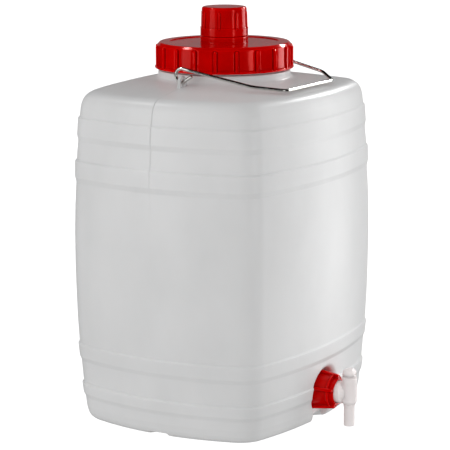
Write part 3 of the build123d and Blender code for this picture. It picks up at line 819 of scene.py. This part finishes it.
def make_lid():
    """Ribbed skirt and top plate as one shell, and the filler spout as another."""
    skirt = outline([
        (LID_BORE_R, LID_BOTTOM), (LID_RIM_R, LID_BOTTOM), (LID_RIM_R, LID_BOTTOM + 1.5),
        (LID_SKIRT_R, LID_BOTTOM + 2.9), (LID_SKIRT_R - 0.3, LID_TOP - 2.6),
        (LID_SKIRT_R - 2.6, LID_TOP), (50.8, LID_TOP), (50.0, LID_TOP - 0.8), (19.0, LID_TOP - 0.8),
        (19.0, LID_PLATE_UNDER), (LID_BORE_R, LID_PLATE_UNDER),
    ], [0.6, 0.6, 0.8, 0.8, 1.2, 1.4, 0.5, 0.8, 0.2, 0.2, 0.8], 0.8)

    def shape(th, r, z):
        place = (th, z, LID_SKIRT_R, LID_RIBS, LID_RIB_ANGLE)
        rib = rib_height(*place, LID_RIB_HALF, LID_RIB_TOP, 0.4)
        beside = rib_height(*place, LID_RIB_HALF + 1.3, LID_RIB_TOP + 0.8, 1.0)
        on_skirt = (r > LID_SKIRT_R - 1.2) & (z > LID_BOTTOM + 0.8)
        crest = np.maximum(r, LID_SKIRT_R + 1.6) - r
        ridge = thread_ridge(th, z, LID_THREAD_Z, LID_PITCH, LID_THREAD_RISE,
                             LID_THREAD_ROOT, LID_THREAD_CREST)
        on_bore = np.abs(r - LID_BORE_R) < 0.3
        grip = crest * rib - LID_GROOVE_DEPTH * (beside - rib)
        return grip * on_skirt - LID_THREAD_DEPTH * ridge * on_bore

    beside_rib = [0.35, 0.7, 0.9, 1.1, 1.3, 1.5, 2.0, 2.8, 4.0, 5.5, 7.2]
    ring = spin(skirt, pitched(LID_RIBS, beside_rib, LID_RIB_ANGLE), shape)
    spout = outline([
        (SPOUT_BORE_R, LID_PLATE_UNDER), (SPOUT_COLLAR_R - 1, LID_PLATE_UNDER),
        (SPOUT_COLLAR_R - 1, LID_TOP - 1.6), (SPOUT_COLLAR_R + 0.5, LID_TOP - 0.9),
        (SPOUT_COLLAR_R, LID_TOP + 0.2), (SPOUT_COLLAR_R, SPOUT_COLLAR_TOP),
        (SPOUT_R, SPOUT_COLLAR_TOP), (SPOUT_R, SPOUT_RIM_Z), (SPOUT_BORE_R, SPOUT_RIM_Z),
    ], [0.6, 0, 0, 0.4, 0.8, 0.8, 0.6, 0.7, 0.7], 0.7)

    def spout_thread(th, r, z):
        ridge = cap_thread(th, z, CAP_THREAD_Z + CAP_PITCH / 2)
        return CAP_THREAD_DEPTH * ridge * (np.abs(r - SPOUT_R) < 0.3)

    return piece("lid_shell", [ring, spin(spout, full_turn(120), spout_thread)], "lid",
                 RED_PLASTIC)


# ---- filler cap ----
CAP_BOTTOM = cap_low.z
CAP_TOP = cap_high.z
CAP_BAND_R = cap_high.x
CAP_BAND_TOP = 361.8
CAP_SKIRT_R = 21.2
CAP_TOP_R = 20.6
CAP_BORE_R = 19.0
CAP_PLATE_UNDER = 378.8
CAP_RIBS = 8
CAP_RIB_ANGLE = 18.0
CAP_RIB_DEPTH = 0.75
CAP_GROOVE_DEPTH = 0.4


def make_filler_cap():
    """A ribbed cup with a smooth band round its rim."""
    profile = outline([
        (CAP_BORE_R, CAP_BOTTOM), (CAP_BAND_R, CAP_BOTTOM), (CAP_BAND_R - 0.1, CAP_BAND_TOP),
        (CAP_SKIRT_R, CAP_BAND_TOP + 0.5), (CAP_TOP_R, CAP_TOP), (AXIS_R, CAP_TOP),
        (AXIS_R, CAP_PLATE_UNDER), (CAP_BORE_R, CAP_PLATE_UNDER),
    ], [0.5, 0.5, 0.4, 0.4, 2.2, 0, 0, 0.6], 0.7)

    def shape(th, r, z):
        place = (th, z, CAP_SKIRT_R, CAP_RIBS, CAP_RIB_ANGLE)
        rib = rib_height(*place, 1.1, CAP_TOP - 4.2, 0.6)
        beside = rib_height(*place, 1.9, CAP_TOP - 3.8, 0.8)
        on_skirt = (r > CAP_TOP_R - 0.3) & (z > CAP_BAND_TOP - 0.5) & (z < CAP_TOP - 2)
        ridge = cap_thread(th, z, CAP_THREAD_Z)
        on_bore = np.abs(r - CAP_BORE_R) < 0.3
        grip = CAP_RIB_DEPTH * rib - CAP_GROOVE_DEPTH * (beside - rib)
        return grip * on_skirt - CAP_THREAD_DEPTH * ridge * on_bore

    beside_rib = [0.8, 1.6, 2.0, 2.4, 2.8, 3.2, 4.5, 7, 10, 14, 18]
    shell = spin(profile, pitched(CAP_RIBS, beside_rib, CAP_RIB_ANGLE), shape)
    return piece("filler_cap_shell", [shell], "filler_cap", RED_PLASTIC)


# ---- bail ----
WIRE_R = 1.5
BAIL_DROOP = 11.5            # degrees below level
ARM_REACH = 67.5
ARM_CONVERGE = 8.6           # how far each arm leans in over its length
CORNER_CUT = 22.6
TAIL_BEND_R = 4.0
TAIL_LENGTH = 9.5


def make_bail():
    """One wire: tail, hook, arm, cut corner, grip, and the same back again."""
    droop = radians(BAIL_DROOP)
    forward = np.array([0, -cos(droop), -sin(droop)])
    above = np.array([0, -sin(droop), cos(droop)])
    axis = np.array([0, 0, BAIL_AXIS_Z])
    arm_end = LUG_X - ARM_CONVERGE
    grip_half = arm_end - CORNER_CUT
    corners = [
        (-LUG_X, 0), (-LUG_X, 6), (-arm_end, ARM_REACH), (-grip_half, ARM_REACH + CORNER_CUT),
        (grip_half, ARM_REACH + CORNER_CUT), (arm_end, ARM_REACH), (LUG_X, 6), (LUG_X, 0),
    ]
    loop = soften(corners, [0, 20, 14, 10, 10, 14, 20, 0], steps=9)
    loop = [axis + np.array([x, 0, 0]) + forward * reach + above * HOOK_R for x, reach in loop]
    leave, rise = 10.0, 43.0     # where the hook turns into its tail, and the tail's slope, in degrees
    inner = HOOK_R - TAIL_BEND_R

    def under(a):
        """The direction (forward, above) at an angle in degrees forward from straight down."""
        return np.array([sin(radians(a)), -cos(radians(a))])

    side = [HOOK_R * under(a) for a in np.linspace(leave, -180, 26)]
    bend = [inner * under(leave) + TAIL_BEND_R * under(a) for a in np.linspace(rise, leave, 7)[:-1]]
    tip = bend[0] + TAIL_LENGTH * under(rise + 90)
    tail = [tip + (bend[0] - tip) * t for t in (0, 0.3, 0.6, 0.85)]
    hook = [axis + forward * f + above * u for f, u in tail + bend + side[:-1]]
    left = [p + np.array([-LUG_X, 0, 0]) for p in hook]
    right = [p + np.array([LUG_X, 0, 0]) for p in hook[::-1]]
    path = refine(left + loop + right, 3.0)
    return piece("bail_wire", [tube(path, WIRE_R)], "bail", STEEL, weighted=False)


# ---- tap ----
NUT_RIBS = 5
NUT_RIB_ANGLE = 164.0
BARREL_Y = (plug_low.y + plug_high.y) / 2
BARREL_R = 7.0
BARREL_BOTTOM = 21.6
BARREL_TOP = tap_high.z


def nearest_moves(points, corners, moves):
    """For each point near a closed outline of corners, the move that belongs to its nearest place."""
    following = np.roll(corners, -1, axis=0)
    along = following - corners
    share = ((points[:, None] - corners) * along).sum(-1) / (along**2).sum(-1)
    share = np.clip(share, 0, 1)[..., None]
    gap = np.linalg.norm(corners + along * share - points[:, None], axis=-1)
    best = gap.argmin(axis=1)
    pick = np.arange(len(points))
    return moves[best] + (np.roll(moves, -1, axis=0)[best] - moves[best]) * share[pick, best]


def make_tap_nut():
    """Five ribs stand out of sunk panels and run over the front to a collar round the tap."""
    rear, front = -nut_high.y, -nut_low.y
    shoulder, seat = 116.8, 116.3
    bore_r, opening_r, rim_r, collar_r = 13.6, 10.9, 16.0, 12.8
    # each row: a (radius, distance along the tap's axis) between the ribs, then where a rib takes it
    places = np.array([
        [(bore_r, rear + 0.9), (bore_r, rear + 0.9)],
        [(bore_r + 1.2, rear), (bore_r + 1.2, rear)],
        [(17.7, rear), (19.6, rear)],
        [(17.7, rear + 1.6), (19.4, rear + 1.6)],
        [(16.2, rear + 2.6), (19.2, rear + 2.6)],
        [(14.7, shoulder - 2.6), (17.2, shoulder - 2.6)],
        [(rim_r, shoulder - 1.5), (17.0, shoulder - 1.0)],
        [(rim_r, shoulder), (16.4, front - 0.5)],
        [(rim_r - 0.9, shoulder + 0.2), (15.7, front)],
        [(collar_r + 0.8, shoulder - 0.6), (13.9, front)],
        [(collar_r, shoulder), (13.2, front)],
        [(collar_r - 0.2, front - 0.9), (12.6, front)],
        [(collar_r - 0.9, front - 0.3), (11.8, front)],
        [(opening_r, front - 0.3), (opening_r, front - 0.2)],
        [(opening_r, seat), (opening_r, seat)],
        [(bore_r, seat), (bore_r, seat)],
    ])
    corners = places[:, 0]
    softness = [0.2, 0.3, 0.5, 0.5, 0.8, 0.8, 0.5, 0.5, 0.3, 0.4, 0.3, 0.3, 0.3, 0.3, 0.2, 0.3]
    profile = outline(corners, softness, 0.6)
    moves = nearest_moves(profile, corners, places[:, 1] - corners)
    beside_rib = [1.5, 3.0, 3.9, 4.5, 5.1, 5.7, 6.4, 7.6, 9.5, 12.5, 17, 23, 29]
    angles = pitched(NUT_RIBS, beside_rib, NUT_RIB_ANGLE)
    pitch = 2 * pi / NUT_RIBS
    across = np.abs(np.mod(angles - radians(NUT_RIB_ANGLE) + pitch / 2, pitch) - pitch / 2) * rim_r
    # a rib 3.5 mm wide with a low fillet on each side
    rib = 0.9 * smooth((1.75 - across) / 0.6) + 0.1 * smooth((3.4 - across) / 2.6)
    r = profile[:, :1] + moves[:, :1] * rib
    z = profile[:, 1:] + moves[:, 1:] * rib
    ridge = thread_ridge(angles[None, :], z, NUT_THREAD_Z + NUT_PITCH / 2, NUT_PITCH, 8.0,
                         NUT_THREAD_ROOT, NUT_THREAD_CREST)
    r = r - 1.1 * ridge * (np.abs(profile[:, :1] - bore_r) < 0.25)
    pts = np.stack([r * np.cos(angles), r * np.sin(angles), z], -1).reshape(-1, 3)
    shell = along_tap((pts, grid_faces(len(profile), len(angles), wrap_rows=True)))
    return piece("tap_nut_shell", [shell], "tap_nut", RED_PLASTIC)


def make_tap_body():
    """The flanged tube along the tap's axis and the upright barrel across its end."""
    flange_near, inlet_end = BOSS_END + 1.2, -tap_high.y
    flange_far, tube_end = flange_near + 2.75, -BARREL_Y - 1.0
    tube_shape = outline([
        (3.6, inlet_end), (8.7, inlet_end), (8.7, flange_near), (12.3, flange_near),
        (12.3, flange_far), (10.2, flange_far), (10.2, 125.2), (8.6, 126.6), (6.7, tube_end),
        (3.6, tube_end),
    ], [0.4, 0.5, 0.4, 0.4, 0.4, 0.4, 1.0, 1.2, 0, 0], 0.9)
    stem = along_tap(spin(tube_shape, full_turn(72)))
    barrel_shape = outline([
        (5.0, BARREL_BOTTOM), (BARREL_R - 1.5, BARREL_BOTTOM), (BARREL_R - 0.05, BARREL_BOTTOM + 2.4),
        (BARREL_R, BARREL_TOP - 0.8), (BARREL_R, BARREL_TOP), (5.5, BARREL_TOP),
    ], [0.2, 0.8, 1.2, 0.2, 0.3, 0.2], 1.2)
    barrel = moved(spin(barrel_shape, full_turn(64)), y=BARREL_Y)
    return piece("tap_body_shell", [stem, barrel], "tap_body", TAP_PLASTIC)


def make_tap_plug():
    """The turning plug with the spout below it and the finger block on top."""
    low, top = plug_low.z, plug_high.z
    knob_r, spout_r, way_r = plug_high.x, 5.0, 3.2
    skirt_z = 20.0
    stem_shape = outline([
        (way_r, low), (spout_r, low), (spout_r, skirt_z - 0.6), (5.35, skirt_z), (5.35, 21.5),
        (4.95, 21.5), (5.45, BARREL_TOP), (5.45, BARREL_TOP + 0.1), (knob_r, BARREL_TOP + 0.1),
        (knob_r, BARREL_TOP + 2.2), (AXIS_R, BARREL_TOP + 2.2), (AXIS_R, TAP_Z + 3),
        (way_r, TAP_Z + 2),
    ], [0.4, 0.5, 0.5, 0.2, 0.1, 0, 0, 0, 0.15, 0.8, 0, 0, 0.8], 1.2)
    stem = moved(spin(stem_shape, full_turn(64)), y=BARREL_Y)
    # the finger block: round at its two ends, flat before and behind, with a rounded top
    around = full_turn(72)
    half_thick, crown = 5.7, 3.8
    foot = BARREL_TOP + 1.2
    levels = [(foot, 0.0)]
    levels += [(top - crown + crown * sin(a), crown * (1 - cos(a)))
               for a in np.radians(range(0, 90, 10))]
    levels += [(top, crown), (top, 0.6 * knob_r), (top, knob_r)]
    rows = [level(0 * polar(1, around), foot)]
    for z, inset in levels:
        long_half, short_half = knob_r - inset + 1e-3, max(half_thick - inset, 0) + 1e-3
        reach = 1 / ((np.abs(np.cos(around)) / long_half)**6
                     + (np.abs(np.sin(around)) / short_half)**6)**(1 / 6)
        reach = np.minimum(reach, long_half)
        rows.append(level(polar(reach, around), z))
    rows = np.array(rows)
    block = moved((rows.reshape(-1, 3), grid_faces(len(rows), len(around))), y=BARREL_Y)
    return piece("tap_plug_shell", [stem, block], "tap_plug", TAP_PLASTIC)


# ---- build ----
make_tank()
make_lid()
make_filler_cap()
make_bail()
make_tap_nut()
make_tap_body()
make_tap_plug()
for node in ("lid_gasket", "filler_cap_liner", "tap_gasket"):
    obj = frame["nodes"][node]
    obj.data.materials.clear()
    obj.data.materials.append(RUBBER)

# ---- floor, light and camera: metres and degrees; azimuth 0 is the front, -90 the -X side ----
AIM = Vector((0, 0, 0.1764))     # what the camera and the softboxes point at
LIGHTS_AZIMUTH = -59.5           # the lights are placed round this direction, the camera's
LIGHTS_DISTANCE = 1.8
FLOOR_HALF = 30.0
# name, azimuth from LIGHTS_AZIMUTH, elevation, width, height, watts
SOFTBOXES = [
    ("left_box", -62, 14, 0.9, 1.6, 8.6),
    ("near_box", 46, 6, 0.3, 0.7, 3.4),
    ("right_box", 117, 3, 0.8, 1.6, 13.0),
    ("back_box", 180, -2, 2.0, 1.4, 1.9),
]
# small ones that only show as highlights on rims and edges
GLINTS = [
    ("left_glint", -100, 56, 0.2, 0.2, 4.0),
    ("right_glint", 139, 31, 0.2, 0.2, 10.0),
]


def make_floor():
    """A plain pale floor that shines by itself, so that it is evenly white."""
    mesh = bpy.data.meshes.new("floor")
    corners = [(-1, -1), (1, -1), (1, 1), (-1, 1)]
    mesh.from_pydata([(x * FLOOR_HALF, y * FLOOR_HALF, 0) for x, y in corners], [], [(0, 1, 2, 3)])
    floor = bpy.data.objects.new("floor", mesh)
    bpy.context.scene.collection.objects.link(floor)
    material, _, _, shader, _ = new_material("floor_paint")
    set_inputs(shader, {
        "Base Color": (0.3, 0.3, 0.3, 1),
        "Roughness": 0.9,
        "Specular IOR Level": 0.0,
        "Emission Color": (1, 1, 1, 1),
        "Emission Strength": 1.0,
    })
    mesh.materials.append(material)
    floor.location.z = -0.0002
    # the floor lights and shades nothing: the surround's lower half does that evenly
    floor.visible_diffuse = False
    floor.visible_glossy = False
    floor.visible_shadow = False


def towards(azimuth, elevation):
    """The unit vector from the object towards an azimuth and an elevation."""
    a, e = radians(azimuth), radians(elevation)
    return Vector((sin(a) * cos(e), -cos(a) * cos(e), sin(e)))


def aimed_light(name, kind, target, azimuth, elevation, distance, power):
    """A light that points at target from an azimuth and elevation. Returns its object and data."""
    light = bpy.data.lights.new(name, kind)
    light.energy = power
    obj = bpy.data.objects.new(name, light)
    bpy.context.scene.collection.objects.link(obj)
    back = towards(LIGHTS_AZIMUTH + azimuth, elevation)
    obj.location = target + back * distance
    obj.rotation_euler = back.to_track_quat("Z", "Y").to_euler()
    return obj, light


def softbox(name, azimuth, elevation, width, height, power):
    """A rectangular light on the whole object."""
    obj, light = aimed_light(name, "AREA", AIM, azimuth, elevation, LIGHTS_DISTANCE, power)
    light.shape = "RECTANGLE"
    light.size, light.size_y = width, height
    return obj


def tap_spot():
    """A narrow spot light on the tap alone, whose plastic is brighter than the tank's."""
    target = Vector((0, BARREL_Y * MM, TAP_Z * MM))
    light = aimed_light("tap_light", "SPOT", target, -10, 38, distance=1.2, power=10.0)[1]
    light.spot_size = radians(6.5)
    light.spot_blend = 0.7
    light.shadow_soft_size = 0.04


def make_world(below, above):
    """A white surround that changes evenly from its strength under the object to its strength
    overhead. It doesn't show in reflections."""
    world = bpy.data.worlds.new("studio")
    bpy.context.scene.world = world
    world.use_nodes = True
    nodes, links = world.node_tree.nodes, world.node_tree.links
    place = nodes.new("ShaderNodeTexCoord")
    split = nodes.new("ShaderNodeSeparateXYZ")
    links.new(place.outputs["Generated"], split.inputs["Vector"])
    fade = spread(nodes, links, split.outputs["Z"], below, above, -0.5, 0.6)
    links.new(fade, nodes["Background"].inputs["Strength"])
    nodes["Background"].inputs["Color"].default_value = (1, 1, 1, 1)
    world.cycles_visibility.glossy = False


def make_camera(azimuth, elevation, distance, lens, roll):
    """The scene's camera, pointing at AIM and rolled about its own axis."""
    data = bpy.data.cameras.new("camera")
    data.lens = lens
    data.sensor_width = 36.0
    camera = bpy.data.objects.new("camera", data)
    bpy.context.scene.collection.objects.link(camera)
    back = towards(azimuth, elevation)
    camera.location = AIM + back * distance
    turn = (-back).to_track_quat("-Z", "Y").to_matrix().to_4x4()
    camera.rotation_euler = (turn @ Matrix.Rotation(radians(roll), 4, "Z")).to_euler()
    data.clip_start, data.clip_end = 0.05, 100
    bpy.context.scene.camera = camera


make_floor()
make_world(below=0.61, above=0.56)
for box in SOFTBOXES:
    softbox(*box)
for box in GLINTS:
    softbox(*box).visible_diffuse = False
tap_spot()
make_camera(azimuth=-59.52, elevation=11.05, distance=1.935, lens=165.3, roll=-0.22)
bpy.context.scene.view_settings.view_transform = "Standard"
